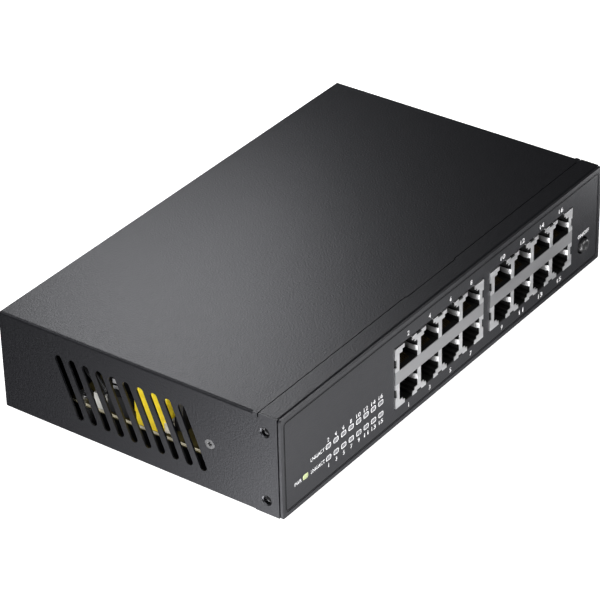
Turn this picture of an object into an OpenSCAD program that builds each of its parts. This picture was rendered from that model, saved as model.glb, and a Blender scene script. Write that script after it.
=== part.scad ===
// Desktop network switch with sixteen ports in a folded steel case.
// The tray carries the front wall, the boards and the mains inlet. A U-shaped cover
// drops over it and is held by screws at the sides and the rear.
// Every shape is laid out from the front left bottom corner of the case: x runs to the
// right along the front, y runs from the front to the rear, z runs up.

/* [Case] */
// Width of the case across the front
body_w = 215; // [211:1:262]
// Depth of the case from the front face to the rear face
body_d = 128; // [126:1:156]
// Height of the case without its feet
body_h = 42; // [41:0.5:52]
// Thickness of the folded steel sheet
sheet = 0.8; // [0.6:0.05:1]
// Outer radius of the folds
bend_r = 1.1; // [1:0.1:1.5]
// Play between the tray and the inside of the cover
cover_gap = 0.15; // [0.1:0.05:0.3]
// Distance of the top seam from the front face
seam_y = 9.7; // [8.5:0.1:12]
// Width of the open line at the seam
seam_gap = 0.35; // [0.2:0.05:0.6]
// Width of the tab in the middle of the seam
tab_w = 32; // [20:1:50]
// Step of that tab towards the front
tab_step = 0.6; // [0.4:0.1:0.7]
// Depth of the lip that folds down over the rear wall
rear_lip_h = 9; // [8:0.5:10]

/* [Vents] */
// Number of slanting slots in each side
slot_count = 10; // [6:1:11]
// Width of a slot
slot_w = 3.2; // [2:0.1:3.6]
// Distance between neighbouring slots
slot_pitch = 6.3; // [5:0.1:7.6]
// Height between the centres of a slot's round ends
slot_rise = 22.1; // [16:0.1:24]
// Lean of a slot towards the rear, in degrees
slot_lean = 21.5; // [0:0.5:25]
// Distance of the first slot's lower end from the front face
slot_y = 34.9; // [34:0.1:38]
// Height of the slots' lower ends
slot_z = 9; // [8:0.1:11]

/* [Front] */
// Thickness of the moulded fascia
fascia_t = 1; // [1:0.05:1.2]
// Open line between the fascia and the edges of the cover
fascia_gap = 0.5; // [0.3:0.05:0.8]
// Depth of the recess that the overlay lies in
recess_t = 0.35; // [0.3:0.05:0.4]
// Thickness of the printed overlay
overlay_t = 0.25; // [0.2:0.05:0.3]
// Border of the fascia around the overlay's recess
border = 1.7; // [1.2:0.1:2.5]
// Open line around the overlay
overlay_gap = 0.3; // [0.15:0.05:0.4]

/* [Ports] */
// Distance between neighbouring port centres
port_pitch = 13.97; // [13.97:0.01:14.4]
// Centre of the left bank from the case's left side
bank_x = 99.6; // [96:0.1:101]
// Distance between the centres of the two banks
bank_pitch = 64; // [62:0.1:66]
// Width of one bank over its shield
bank_w = 59; // [58.5:0.1:60]
// Height of one bank above its board
bank_h = 26; // [26:0.1:28]
// Depth of one bank
bank_depth = 27; // [22:0.5:28]
// Thickness of the shield's sheet
shield_t = 0.3; // [0.2:0.05:0.4]
// How far the shields stand out of the front face
shield_proud = 0.3; // [0.1:0.05:0.6]
// Width of a port's opening
port_w = 11.9; // [11.7:0.1:12.2]
// Height of a port's opening below its latch steps
port_h = 7.4; // [7:0.1:7.7]
// Height of the band between the two rows of ports
row_band = 5.4; // [4.6:0.1:5.6]
// Depth of a port's cavity
port_depth = 15; // [13:0.5:16]

/* [Indicators] */
// First light column from the case's left side
led_x = 28.2; // [26:0.1:28.5]
// Distance between light columns
led_pitch = 4.7; // [4.4:0.1:4.9]
// Height of the lower row of lights
led_z = 10.5; // [10:0.1:11]
// Height of the upper row above the lower one
led_rise = 5.1; // [4.5:0.1:6]
// Width of one light window
window_w = 2.3; // [1.8:0.1:2.6]
// Height of one light window
window_h = 1.4; // [1:0.1:1.6]
// Power light from the case's left side
power_x = 14.1; // [12:0.1:15]

/* [Button] */
// Button centre from the case's right side
button_inset = 12.8; // [12:0.1:14]
// Height of the button's centre
button_z = 11.9; // [11.5:0.1:13]
// Diameter of the button cap
button_dia = 5.8; // [5:0.1:6.4]
// Play around the button cap
button_gap = 0.8; // [0.4:0.1:1]
// How far the released cap stands out of the front face
button_proud = 1.5; // [1.2:0.1:2]
// Travel of the button
button_travel = 1.2; // [0.8:0.1:1.2]

/* [Boards] */
// Thickness of both circuit boards
board_t = 1.6; // [1:0.1:2]
// Height of the main board's upper face
main_top = 7.7; // [7.6:0.1:8]
// Depth of the main board
main_depth = 86; // [84:0.5:100]
// Depth of the main board's strip in front of the power supply
strip_depth = 27.5; // [26:0.5:29]
// Height of the supply board's upper face
supply_top = 11.7; // [11:0.1:13]
// Width of the supply board
supply_w = 58; // [56:0.5:59]
// Length of the supply board
supply_len = 68; // [67:0.5:69]
// Nominal thread diameter of the small screws
screw_dia = 3; // [2.5:0.1:3]

/* [Feet and inlet] */
// Height of the rubber feet
foot_h = 1.8; // [1:0.1:4]
// Diameter of the rubber feet
foot_dia = 10; // [8:0.5:14]
// Distance of the feet's centres from the sides
foot_inset = 17; // [12:0.5:22]
// Centre of the mains inlet from the case's left side
inlet_x = 38; // [34:0.5:42]
// Height of the mains inlet's centre
inlet_z = 18; // [16:0.1:20]
// Distance between the inlet's two screws
inlet_screws_span = 40; // [38:0.5:42]
// Height of the threaded ear holes' lower row
ear_z = 5.8; // [5.5:0.1:7]
// Distance between the two ear holes of one side
ear_span = 29; // [26:0.5:30]
// Distance of the ear holes from the front face
ear_y = 6.8; // [6:0.1:7.5]

/* [Hidden] */
$fn = 32;

// Clearances and small fixed sizes
eps = 0.01;
hole_play = 0.2;           // radial play of a screw in a plain hole
thread_play = 0.05;        // radial play of a screw in its thread
window_play = 0.1;         // play of a light pipe in its hole
cut_play = 0.3;            // play of a port bank in its cut-out
case_play = 0.8;           // front edge of a board from the front wall
fascia_side_play = 0.1;    // fascia edge from the case's outline
fascia_r = 0.8;            // corners of the fascia
overlay_r = 1.6;           // corners of the overlay's recess

// Case
wall_y = fascia_t;                             // outer face of the front wall
wall_back = wall_y + sheet;
tray_x0 = sheet + cover_gap;
tray_x1 = body_w - tray_x0;
side_front = fascia_t + fascia_gap;
rear_y = body_d - sheet;                       // outer face of the tray's rear wall
lip_end = seam_y - seam_gap / 2;
cover_start = seam_y + seam_gap / 2;
under_cover = body_h - sheet - cover_gap;
shelf_depth = 7;
flange_h = 6.5;
rear_flange = 8;
screw_tab = [10, 2.6];      // in front of and behind the side screw
side_screw_y = 31.5;
side_screw_z = 20.3;
rear_screw_x = [20, body_w / 2, body_w - 20];
rear_screw_z = body_h - rear_lip_h / 2;
boss_t = 2;
head_dia = 5.2;
head_t = 1.4;
relief = [seam_gap + 0.15, 1.7];     // slit at the end of the side folds

// Ear holes: the same pattern on both sides
ear_hole_dia = 2 * (screw_dia / 2 + hole_play);
ear_nut_dia = 6.2;
ear_nut_t = 2.2;

// Ports
row_top = row_band / 2 + port_h;
step_w = [8, 5.2];
step_h = [1.2, bank_h / 2 - shield_t - row_top - 1.2];
bank_mid = main_top + bank_h / 2;
bank_front = -shield_proud;
housing_play = 0.05;
finger_z = [2.5, 4.7];
finger_reach = 6;
finger_bend = 1.3;         // depth of the finger's steep front part
finger_in = 0.65;
finger_t = 0.2;
notch_size = [3.1, 1.2, 0.9];       // along the edge, into the bank, across the edge
side_notch_w = 3.6;
side_notch_z = 6.5;        // centre above and below the banks' middle
spring_w = 2.4;
spring_rise = cut_play - 0.1;
spring_end = wall_back + case_play - 0.2;
contact_w = 0.35;
contact_pitch = 1.02;
contacts_per_port = 8;
contact_rise = 3.6;
contact_t = 0.25;

// Indicators
led_cols = 8;
holder_y = wall_back + 0.2;
holder_depth = 6;
pocket_depth = 3;
pocket_play = 0.15;
pipe_back = holder_y + 2;
holder_wall = 1.2;
pwr_z = led_z + 0.2;

// Button
button_x = body_w - button_inset;
cap_back = button_travel + 3.3;
switch_y = cap_back + button_travel + 1;
switch_size = [8.4, 12, 8.4];
plunger_w = 3;
plunger_play = 0.2;
plunger_len = 9.5;
chamber_dia = 5.6;
chamber_wall = 1;
collar_y = switch_y + chamber_wall + 0.1;
collar_t = 0.8;
plunger_tail = 2.4;
spring_dia = 4.2;
spring_wire = 0.45;
spring_turns = 5;

// Boards
board_gap = 7;
main_x0 = board_gap;
main_x1 = body_w - board_gap;
main_y0 = wall_back + case_play;
main_bottom = main_top - board_t;
supply_x0 = 5;
supply_y0 = main_y0 + strip_depth + 2;
supply_x1 = supply_x0 + supply_w;
supply_y1 = supply_y0 + supply_len;
supply_bottom = supply_top - board_t;
wide_x0 = supply_x1 + 3;
standoff_dia = 6;
shank_dia = 4;
main_holes = [[12, 22], [wide_x0 - 4, 22], [bank_x + bank_pitch / 2, 34],
    [main_x1 - 4, 34], [wide_x0 + 8, main_y0 + main_depth - 5],
    [main_x1 - 4, main_y0 + main_depth - 5]];
supply_holes = [[supply_x0 + 4, supply_y0 + 4], [supply_x1 - 4, supply_y0 + 4],
    [supply_x0 + 4, supply_y1 - 4], [supply_x1 - 4, supply_y1 - 4]];

// Main board parts
parts_y = main_y0 + bank_depth + 2;
chip_xy = [bank_x + bank_pitch * 0.75, parts_y + 28];
chip_size = [24, 24, 2];
coupler_size = [12, 10, 5.6];
coupler_lift = 0.4;
coupler_foot_w = 1.6;
coupler_toe = 1.2;
pad_w = 22;
pad_t = 0.5;
sink_size = [30, 30, 9];
fin_count = 8;
fin_t = 1.2;
sink_base = 2;

// Supply parts, each placed from the supply board's front left corner
winding_x = supply_x0;
winding_y = supply_y0 + 22.9;
winding_size = [22, 15.2, 12];
winding_r = 1.2;
tape_skirt = 0.3;          // tape that hangs down over the left rail
leg_size = [12, 6];
yoke_t = 3.2;
outer_leg = 3.6;
core_play = 0.2;
rail_nose = 2.1;
rail_nose_w = 1.6;
rail_lift = 1.2;
flange_t = 2;              // bobbin flange between the lower yoke and the winding
cap_xy = [11.8, 52];
cap_dia = 14;
cap_h = 24;
small_cap_xy = [[33, 8], [44.5, 8], [48, 30]];
small_cap_dia = 10;
small_cap_h = 16;
choke_xy = [21, 9.5];
choke_dia = 11;
choke_h = 13;
choke_lip = 1.2;
choke_step = 0.6;
ring_xy = [47, 44];
ring_z = 8;
ring_r = 5.2;
ring_wire_r = 2.8;
bridge_xy = [0.8, 41.4];
bridge_size = [3.6, 9.4, 8];
box_xy = [32, 57];
box_size = [16, 8, 13];
fuse_xy = [30, 50];
fuse_size = [8.4, 4, 7.6];
mains_xy = [0.1, 51];
mains_size = [4, 5.6, 6.5];

// Inlet
inlet_body = [27, 16, 19.5];
inlet_flange = [50, 23];
inlet_flange_t = button_proud;
inlet_cavity = [24, 16.2];
inlet_cavity_depth = 14;
inlet_play = 0.25;
pin_size = [2, 4];
pin_reach = 9;
tab_reach = 6;

// ---------------------------------------------------------------- helpers

// Moves what is laid out from the case's corner to the model's origin, which is the
// middle of everything that stands out in front and behind, at the feet's underside.
module place() {
    translate([-body_w / 2, -(body_d + inlet_flange_t - button_proud) / 2, foot_h])
        children();
}

// A box between two corners
module block(low, high) {
    translate(low) cube(high - low);
}

// A round rod along +y, from y0 to y1
module rod_y(x, z, y0, y1, dia) {
    translate([x, y0, z]) rotate([-90, 0, 0]) cylinder(d = dia, h = y1 - y0);
}

// A round rod along +x, from x0 to x1
module rod_x(y, z, x0, x1, dia) {
    translate([x0, y, z]) rotate([0, 90, 0]) cylinder(d = dia, h = x1 - x0);
}

// A flat rectangle with round corners
module round_rect(w, h, r) {
    offset(r = r) translate([r, r]) square([w - 2 * r, h - 2 * r]);
}

// Extrudes an outline drawn in x and z along +y, from y0 to y1
module along_y(y0, y1) {
    translate([0, y1, 0]) rotate([90, 0, 0]) linear_extrude(y1 - y0) children();
}

// Extrudes an outline drawn in y and z along +x, from x0 to x1
module along_x(x0, x1) {
    translate([x0, 0, 0]) rotate([90, 0, 90]) linear_extrude(x1 - x0) children();
}

// Repeats its children on the other side of the case
module both_sides() {
    children();
    translate([body_w, 0, 0]) mirror([1, 0, 0]) children();
}

// A length of insulated wire swept along hand-set points, rounded between them
function wire_at(p, i, t) = let (
    a = p[max(i - 1, 0)], b = p[i], c = p[i + 1], d = p[min(i + 2, len(p) - 1)])
    0.5 * (2 * b + (c - a) * t + (2 * a - 5 * b + 4 * c - d) * t * t
        + (3 * b - a - 3 * c + d) * t * t * t);
function wire_path(p, n) = concat(
    [for (i = [0 : len(p) - 2]) for (k = [0 : n - 1]) wire_at(p, i, k / n)],
    [p[len(p) - 1]]);
function unit(v) = v / norm(v);
function heading(q, i) = i == 0 ? unit(q[1] - q[0])
    : i == len(q) - 1 ? unit(q[i] - q[i - 1]) : unit(q[i + 1] - q[i - 1]);

module wire(p, dia, steps = 4, sides = 8, up = [0.31, 0.17, 0.93]) {
    q = wire_path(p, steps);
    rings = len(q);
    points = [for (i = [0 : rings - 1]) let (
        t = heading(q, i), u = unit(cross(t, up)), v = cross(t, u))
        for (k = [0 : sides - 1]) q[i] + dia / 2
            * (cos(360 * k / sides) * u + sin(360 * k / sides) * v)];
    walls = [for (i = [0 : rings - 2]) for (k = [0 : sides - 1]) let (
        a = i * sides + k, b = i * sides + (k + 1) % sides)
        [a, a + sides, b + sides, b]];
    polyhedron(points, concat([[for (k = [0 : sides - 1]) k]], walls,
        [[for (k = [sides - 1 : -1 : 0]) (rings - 1) * sides + k]]));
}

// ---------------------------------------------------------------- openings

// Outline of one port, standing on its lower edge, with the latch steps on top
module port_outline() {
    translate([-port_w / 2, 0]) square([port_w, port_h]);
    translate([-step_w[0] / 2, 0]) square([step_w[0], port_h + step_h[0]]);
    translate([-step_w[1] / 2, 0]) square([step_w[1], port_h + step_h[0] + step_h[1]]);
}

// The eight port outlines of one bank; the lower row is turned over
module bank_outlines(x) {
    for (col = [0 : 3]) translate([x + (col - 1.5) * port_pitch, bank_mid]) {
        translate([0, row_band / 2]) port_outline();
        mirror([0, 1]) translate([0, row_band / 2]) port_outline();
    }
}

// Cut-outs for the two banks, the lights and the button, through one front layer
module front_cuts(y0, y1) {
    for (i = [0, 1])
        block([bank_x + i * bank_pitch - bank_w / 2 - cut_play, y0, main_top - cut_play],
            [bank_x + i * bank_pitch + bank_w / 2 + cut_play, y1,
                main_top + bank_h + cut_play]);
    for (col = [0 : led_cols - 1]) for (row = [0, 1])
        light_box(led_x + col * led_pitch, led_z + row * led_rise, y0, y1, window_play);
    light_box(power_x, pwr_z, y0, y1, window_play);
    rod_y(button_x, button_z, y0, y1, button_dia + 2 * button_gap);
}

// One light window's prism, grown by a play on each side
module light_box(x, z, y0, y1, play) {
    block([x - window_w / 2 - play, y0, z - window_h / 2 - play],
        [x + window_w / 2 + play, y1, z + window_h / 2 + play]);
}

// Places of the fascia's pegs: left, between the lights and the ports, between the
// banks and right, in two rows
peg_dia = 2.4;
peg_x = [5, bank_x - bank_w / 2 - 4, bank_x + bank_pitch / 2, body_w - 5];
peg_z = [4.2, body_h - 5];
peg_play = 0.1;
peg_head_dia = 3.8;
peg_head_t = 0.6;

// ---------------------------------------------------------------- casing

module chassis_tray() color("dimgray") place() difference() {
    union() {
        along_x(tray_x0, tray_x1) tray_section();
        both_sides() {
            // upright flange along the floor's edge
            block([tray_x0, wall_y, 0], [tray_x0 + sheet, rear_y, flange_h]);
            // return of the front wall, which backs the ear holes
            block([tray_x0, wall_y, bend_r], [tray_x0 + sheet, side_front + 11, body_h - 2]);
            // tab for the side screw, with its threaded boss
            block([tray_x0, side_screw_y - screw_tab[0], 0],
                [tray_x0 + sheet, side_screw_y + screw_tab[1], side_screw_z + 5]);
            rod_x(side_screw_y, side_screw_z, tray_x0, tray_x0 + boss_t, 5);
            // return of the rear wall
            block([tray_x0, rear_y - 10, 0], [tray_x0 + sheet, rear_y, under_cover]);
        }
        for (x = rear_screw_x) rod_y(x, rear_screw_z, rear_y - boss_t, rear_y, 5);
    }
    front_cuts(wall_y - 1, wall_back + 1);
    for (x = peg_x) for (z = peg_z)
        rod_y(x, z, wall_y - 1, wall_back + 1, peg_dia + 2 * peg_play);
    // room for the seam's tab in the edge of the lip
    block([body_w / 2 - tab_w / 2 - seam_gap, lip_end - tab_step, body_h - sheet],
        [body_w / 2 + tab_w / 2 + seam_gap, lip_end + 1, body_h + 1]);
    both_sides() {
        for (i = [0, 1])
            rod_x(ear_y, ear_z + i * ear_span, -1, tray_x0 + sheet + 1, ear_hole_dia);
        rod_x(side_screw_y, side_screw_z, -1, tray_x0 + boss_t + 1,
            screw_dia + 2 * thread_play);
    }
    for (x = rear_screw_x)
        rod_y(x, rear_screw_z, rear_y - boss_t - 1, rear_y + 1, screw_dia + 2 * thread_play);
    for (p = concat(main_holes, supply_holes))
        translate([p[0], p[1], -1]) cylinder(d = shank_dia, h = sheet + 2);
    // mains inlet: body and screws
    block([inlet_x - inlet_body[0] / 2 - inlet_play, rear_y - sheet - 1,
            inlet_z - inlet_body[2] / 2 - inlet_play],
        [inlet_x + inlet_body[0] / 2 + inlet_play, rear_y + 1,
            inlet_z + inlet_body[2] / 2 + inlet_play]);
    for (s = [-1, 1])
        rod_y(inlet_x + s * inlet_screws_span / 2, inlet_z, rear_y - sheet - 1, rear_y + 1,
            screw_dia + 2 * thread_play);
    translate([earth_xy[0], earth_xy[1], -1])
        cylinder(d = screw_dia + 2 * thread_play, h = sheet + 2);
}

// Folded section of the tray: floor, front wall, stepped lip, rear wall and flange
module tray_section() intersection() {
    translate([wall_y, 0]) round_rect(rear_y - wall_y, body_h, bend_r);
    union() {
        translate([wall_y, 0]) square([rear_y - wall_y, sheet]);
        translate([wall_y, 0]) square([sheet, body_h]);
        translate([wall_y, body_h - sheet]) square([lip_end - wall_y, sheet]);
        translate([lip_end - sheet, under_cover - sheet])
            square([sheet, body_h - under_cover + sheet]);
        translate([lip_end - sheet, under_cover - sheet])
            square([sheet + shelf_depth, sheet]);
        translate([rear_y - sheet, 0]) square([sheet, under_cover]);
        translate([rear_y - rear_flange, under_cover - sheet]) square([rear_flange, sheet]);
    }
}

module top_cover() color("dimgray") place() difference() {
    union() {
        // top and sides behind the seam
        along_y(cover_start, body_d) difference() {
            intersection() {
                round_rect(body_w, body_h + 2 * bend_r, bend_r * 0.5);
                translate([0, -body_h]) round_rect(body_w, 2 * body_h, bend_r);
            }
            translate([sheet, -1]) square([body_w - 2 * sheet, body_h - sheet + 1]);
        }
        // sides running on to the front
        both_sides() block([0, side_front, 0], [sheet, cover_start + 2, body_h]);
        // tab in the middle of the seam
        block([body_w / 2 - tab_w / 2, cover_start - tab_step, body_h - sheet],
            [body_w / 2 + tab_w / 2, cover_start + 1, body_h]);
        // lip over the rear wall
        block([sheet + cover_gap, rear_y, body_h - rear_lip_h],
            [body_w - sheet - cover_gap, body_d, body_h - sheet / 2]);
    }
    // round of the rear fold
    along_x(-1, body_w + 1) translate([body_d - bend_r, body_h - bend_r]) difference() {
        square(bend_r + 1);
        circle(r = bend_r);
    }
    both_sides() {
        // relief slit at the end of the fold
        block([-1, cover_start - relief[0], body_h - relief[1]],
            [sheet + eps, cover_start + eps, body_h + 1]);
        for (i = [0 : slot_count - 1]) vent_slot(slot_y + i * slot_pitch);
        for (i = [0, 1]) {
            rod_x(ear_y, ear_z + i * ear_span, -1, sheet + 1, ear_hole_dia);
            translate([-eps, ear_y, ear_z + i * ear_span]) rotate([0, 90, 0])
                cylinder(d1 = ear_hole_dia + 0.9, d2 = ear_hole_dia, h = 0.45);
        }
        rod_x(side_screw_y, side_screw_z, -1, sheet + 1, screw_dia + 2 * hole_play);
        translate([-eps, side_screw_y, side_screw_z]) rotate([0, 90, 0])
            cylinder(d1 = sink_dia, d2 = screw_dia, h = sheet);
    }
    for (x = rear_screw_x)
        rod_y(x, rear_screw_z, rear_y - 1, body_d + 1, screw_dia + 2 * hole_play);
}

// Mouth of the side screws' countersinks
sink_dia = screw_dia + 1.3;

// One slanting slot with round ends, through the left side
module vent_slot(y) {
    reach = slot_rise / cos(slot_lean);
    translate([-1, y, slot_z]) rotate([-slot_lean, 0, 0]) {
        translate([0, -slot_w / 2, 0]) cube([sheet + 2, slot_w, reach]);
        for (z = [0, reach])
            translate([0, 0, z]) rotate([0, 90, 0]) cylinder(d = slot_w, h = sheet + 2);
    }
}

module front_fascia() color("dimgray") place() {
    difference() {
        along_y(0, fascia_t) translate([fascia_side_play, 0])
            round_rect(body_w - 2 * fascia_side_play, body_h, fascia_r);
        along_y(-1, recess_t) translate([border, border])
            round_rect(body_w - 2 * border, body_h - 2 * border, overlay_r);
        front_cuts(-1, fascia_t + 1);
    }
    // pegs set through the front wall and headed over behind it
    for (x = peg_x) for (z = peg_z) {
        rod_y(x, z, fascia_t - 0.3, wall_back, peg_dia);
        rod_y(x, z, wall_back, wall_back + peg_head_t, peg_head_dia);
    }
}

module front_overlay() color("dimgray") place() difference() {
    along_y(recess_t - overlay_t, recess_t)
        translate([border + overlay_gap, border + overlay_gap])
            round_rect(body_w - 2 * (border + overlay_gap),
                body_h - 2 * (border + overlay_gap), overlay_r - overlay_gap);
    front_cuts(-1, fascia_t + 1);
}

module cover_side_screws() color("black") place() both_sides() {
    difference() {
        union() {
            translate([0.05, side_screw_y, side_screw_z]) rotate([0, 90, 0])
                cylinder(d1 = sink_dia - 0.2, d2 = screw_dia - 0.2, h = sheet);
            rod_x(side_screw_y, side_screw_z, 0.05, tray_x0 + boss_t + 1, screw_dia);
        }
        cross_recess_x(side_screw_y, side_screw_z, 0.05);
    }
}

// Cross recess cut 0.7 deep into a head whose face is at x
module cross_recess_x(y, z, x) {
    for (a = [0, 90]) translate([x, y, z]) rotate([a, 0, 0])
        translate([-1, -0.25, -1]) cube([1.7, 0.5, 2]);
}

module cover_rear_screws() color("black") place() for (x = rear_screw_x) difference() {
    union() {
        rod_y(x, rear_screw_z, rear_y - boss_t - 2, body_d, screw_dia);
        rod_y(x, rear_screw_z, body_d, body_d + head_t, head_dia);
    }
    for (a = [0, 90]) translate([x, body_d + head_t, rear_screw_z]) rotate([0, a, 0])
        translate([-1.4, -0.8, -0.3]) cube([2.8, 2, 0.6]);
}

// Nuts pressed into the tray behind the ear holes
module ear_nuts() color("silver") place() both_sides() for (i = [0, 1]) difference() {
    rod_x(ear_y, ear_z + i * ear_span, tray_x0 + sheet, tray_x0 + sheet + ear_nut_t,
        ear_nut_dia);
    rod_x(ear_y, ear_z + i * ear_span, 0, tray_x0 + sheet + ear_nut_t + 1, screw_dia);
}

module rubber_feet() color("black") place()
    for (x = [foot_inset, body_w - foot_inset]) for (y = [foot_inset, body_d - foot_inset])
        translate([x, y, -foot_h]) {
            cylinder(d1 = foot_dia - 0.8, d2 = foot_dia, h = foot_h / 2);
            translate([0, 0, foot_h / 2]) cylinder(d = foot_dia, h = foot_h / 2);
        }

// ---------------------------------------------------------------- ports

// Moulded block with eight cavities; the rear is hollow over the contact tails
module port_housing(x) difference() {
    block([x - bank_w / 2 + shield_t + housing_play, bank_front + shield_t, main_top],
        [x + bank_w / 2 - shield_t - housing_play, bank_front + bank_depth - shield_t,
            main_top + bank_h - shield_t - housing_play]);
    along_y(bank_front, bank_front + port_depth) bank_outlines(x);
    block([x - bank_w / 2 + 2, bank_front + port_depth + 1.5, main_top - 1],
        [x + bank_w / 2 - 2, bank_front + bank_depth - 2, main_top + bank_h - 3]);
}

// Sheet shield over the block, with a ground finger inside each port
module port_shield(x) {
    difference() {
        block([x - bank_w / 2, bank_front, main_top],
            [x + bank_w / 2, bank_front + bank_depth, main_top + bank_h]);
        block([x - bank_w / 2 + shield_t, bank_front + shield_t, main_top - 1],
            [x + bank_w / 2 - shield_t, bank_front + bank_depth - shield_t,
                main_top + bank_h - shield_t]);
        along_y(bank_front - 1, bank_front + shield_t + 1) bank_outlines(x);
        for (side = [0, 1]) mirror_row(side) {
            at_top_notches(x) notch(notch_size[0]);
            at_side_notches(x) notch(side_notch_w);
            for (col = [0 : 3])
                translate([x + (col - 1.5) * port_pitch, bank_front, main_top + bank_h])
                    notch(step_w[1]);
        }
    }
    at_top_notches(x) edge_spring();
    for (side = [0, 1]) mirror_row(side) at_side_notches(x) edge_spring();
    for (col = [0 : 3]) for (side = [0, 1]) mirror_row(side)
        translate([x + (col - 1.5) * port_pitch + port_w / 2, 0,
                bank_mid + row_band / 2 + finger_z[0]])
            linear_extrude(finger_z[1] - finger_z[0]) ground_finger();
}

// Places its children over the dividers at the shield's upper edge, with z outward
module at_top_notches(x) for (i = [-1 : 1])
    translate([x + i * port_pitch, bank_front, main_top + bank_h]) children();

// Places its children at both side edges of the upper row, with z outward
module at_side_notches(x) for (s = [-1, 1])
    translate([x + s * bank_w / 2, bank_front, bank_mid + side_notch_z]) rotate([0, s * 90, 0])
        children();

// Room cut into an edge of the shield's front
module notch(w) block([-w / 2, -1, -notch_size[2]], [w / 2, notch_size[1], 1]);

// Raised spring behind a notch, which touches the edge of the case's cut-out
module edge_spring() along_x(-spring_w / 2, spring_w / 2) polygon([
    [notch_size[1], -shield_t / 2], [notch_size[1], eps], [notch_size[1] + 0.5, spring_rise],
    [spring_end - bank_front, eps], [spring_end - bank_front, -shield_t / 2]]);

// Turns its children over about the middle of the banks
module mirror_row(turn) {
    translate([0, 0, turn * 2 * bank_mid]) mirror([0, 0, turn]) children();
}

// Plan of a finger: steeply from the opening's edge into the port, then back to its wall
module ground_finger() translate([0, bank_front]) polygon([[0, 0], [0, shield_t],
    [finger_t - finger_in, finger_bend], [finger_t - finger_in, finger_reach * 0.6],
    [-0.05, finger_reach], [-finger_t, finger_reach], [-finger_in, finger_reach * 0.6],
    [-finger_in, finger_bend], [-finger_t / 2, 0]]);

// Spring contacts: each rises from the front edge of its cavity to the rear wall
module port_contacts(x) {
    for (col = [0 : 3]) for (side = [0, 1]) for (k = [0 : contacts_per_port - 1])
        mirror_row(side) translate([x + (col - 1.5) * port_pitch
                + (k - (contacts_per_port - 1) / 2) * contact_pitch - contact_w / 2,
                bank_front, bank_mid + row_band / 2])
            along_x(0, contact_w) polygon([[2.4, 0], [3.2, 0],
                [port_depth - 2.4, contact_rise - contact_t],
                [port_depth, contact_rise - contact_t], [port_depth, contact_rise],
                [port_depth - 2.5, contact_rise]]);
}

module left_port_housing() color("black") place() port_housing(bank_x);
module left_port_shield() color("silver") place() port_shield(bank_x);
module left_port_contacts() color("gold") place() port_contacts(bank_x);
module right_port_housing() color("black") place() port_housing(bank_x + bank_pitch);
module right_port_shield() color("silver") place() port_shield(bank_x + bank_pitch);
module right_port_contacts() color("gold") place() port_contacts(bank_x + bank_pitch);

// ---------------------------------------------------------------- lights and button

module link_light_pipes() color("whitesmoke") place()
    for (col = [0 : led_cols - 1]) for (row = [0, 1])
        light_box(led_x + col * led_pitch, led_z + row * led_rise,
            recess_t - overlay_t, pipe_back, 0);

module power_light_pipe() color("palegreen") place()
    light_box(power_x, pwr_z, recess_t - overlay_t, pipe_back, 0);

// Black blocks that stand on the board and keep the lights apart
module light_holders() color([0.1, 0.1, 0.1]) place() difference() {
    union() {
        block([led_x - window_w / 2 - holder_wall, holder_y, main_top],
            [led_x + (led_cols - 1) * led_pitch + window_w / 2 + holder_wall,
                holder_y + holder_depth, led_z + led_rise + window_h / 2 + holder_wall]);
        block([power_x - window_w / 2 - holder_wall, holder_y, main_top],
            [power_x + window_w / 2 + holder_wall, holder_y + holder_depth,
                pwr_z + window_h / 2 + holder_wall]);
    }
    for (col = [0 : led_cols - 1]) for (row = [0, 1])
        light_box(led_x + col * led_pitch, led_z + row * led_rise, holder_y - 1,
            holder_y + pocket_depth, pocket_play);
    light_box(power_x, pwr_z, holder_y - 1, holder_y + pocket_depth, pocket_play);
}

// The lights themselves, between the pocket's end and the light pipe
module light_chips() color("lightyellow") place() {
    for (col = [0 : led_cols - 1]) for (row = [0, 1])
        light_box(led_x + col * led_pitch, led_z + row * led_rise, pipe_back,
            holder_y + pocket_depth, 0);
    light_box(power_x, pwr_z, pipe_back, holder_y + pocket_depth, 0);
}

module button_cap() color([0.12, 0.12, 0.13]) place()
    translate([button_x, -button_proud, button_z]) rotate([-90, 0, 0]) {
        edge = 0.6;
        rotate_extrude() polygon([[0, 0], [button_dia / 2 - edge, 0],
            [button_dia / 2 - edge * 0.3, edge * 0.3], [button_dia / 2, edge],
            [button_dia / 2, button_proud + cap_back], [0, button_proud + cap_back]]);
    }

module button_plunger() color("ivory") place() {
    block([button_x - plunger_w / 2, cap_back, button_z - plunger_w / 2],
        [button_x + plunger_w / 2, collar_y, button_z + plunger_w / 2]);
    // collar that the spring pushes against the chamber's mouth
    rod_y(button_x, button_z, collar_y, collar_y + collar_t, chamber_dia - 0.6);
    rod_y(button_x, button_z, collar_y, cap_back + plunger_len, plunger_tail);
}

// Helical return spring between the collar and the end of the chamber
module button_spring() color("silver") place() {
    y0 = collar_y + collar_t + spring_wire / 2;
    y1 = switch_y + switch_size[1] - chamber_wall - spring_wire / 2;
    r = (spring_dia - spring_wire) / 2;
    steps = 14;
    turns = [for (i = [0 : spring_turns * steps]) let (a = 360 * i / steps)
        [button_x + r * cos(a), y0 + (y1 - y0) * i / (spring_turns * steps),
            button_z + r * sin(a)]];
    wire(turns, spring_wire, 1, 6, [0, 1, 0]);
}

module button_switch_case() color([0.2, 0.2, 0.22]) place() difference() {
    block([button_x - switch_size[0] / 2, switch_y, main_top],
        [button_x + switch_size[0] / 2, switch_y + switch_size[1], main_top + switch_size[2]]);
    block([button_x - plunger_w / 2 - plunger_play, switch_y - 1,
            button_z - plunger_w / 2 - plunger_play],
        [button_x + plunger_w / 2 + plunger_play, switch_y + chamber_wall + 1,
            button_z + plunger_w / 2 + plunger_play]);
    rod_y(button_x, button_z, switch_y + chamber_wall,
        switch_y + switch_size[1] - chamber_wall, chamber_dia);
}

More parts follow.
